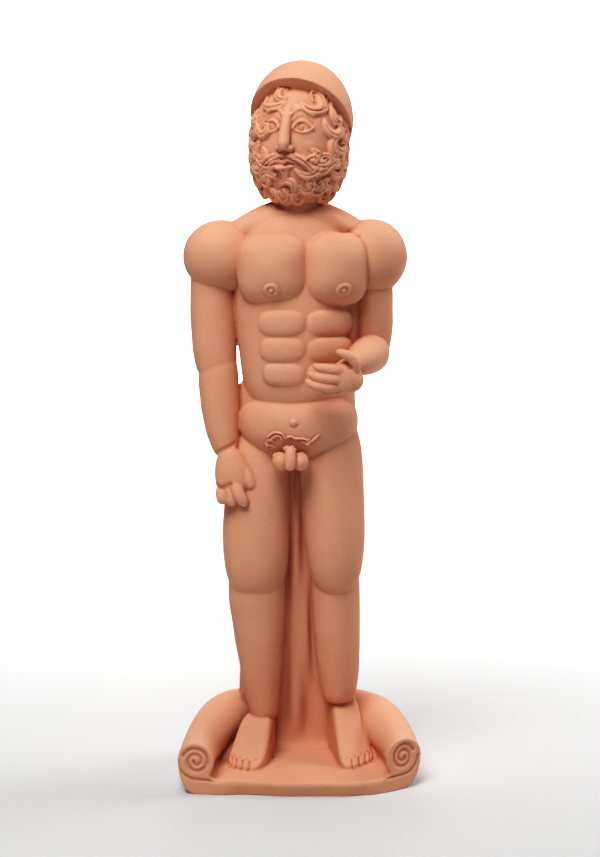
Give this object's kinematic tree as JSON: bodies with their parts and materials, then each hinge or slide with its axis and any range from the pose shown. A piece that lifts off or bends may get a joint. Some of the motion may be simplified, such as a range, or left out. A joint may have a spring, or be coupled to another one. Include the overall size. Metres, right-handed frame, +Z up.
{
  "type": "terracotta statue of a helmeted warrior",
  "caption": "Standing bearded nude warrior in a plain helmet, terracotta, with rounded limbs, on a scrolled foot with a folded cloth behind the legs.",
  "frame": {"origin": "middle of the bounding box, on the underside of the foot", "axes": "+Z up, the figure faces -Y, +X to the figure's left"},
  "size_m": [0.1276, 0.1, 0.38],
  "materials": {
    "terracotta": "unglazed, matt and smooth"
  },
  "bodies": {
    "root": {"statue": "terracotta"}
  },
  "joints": []
}
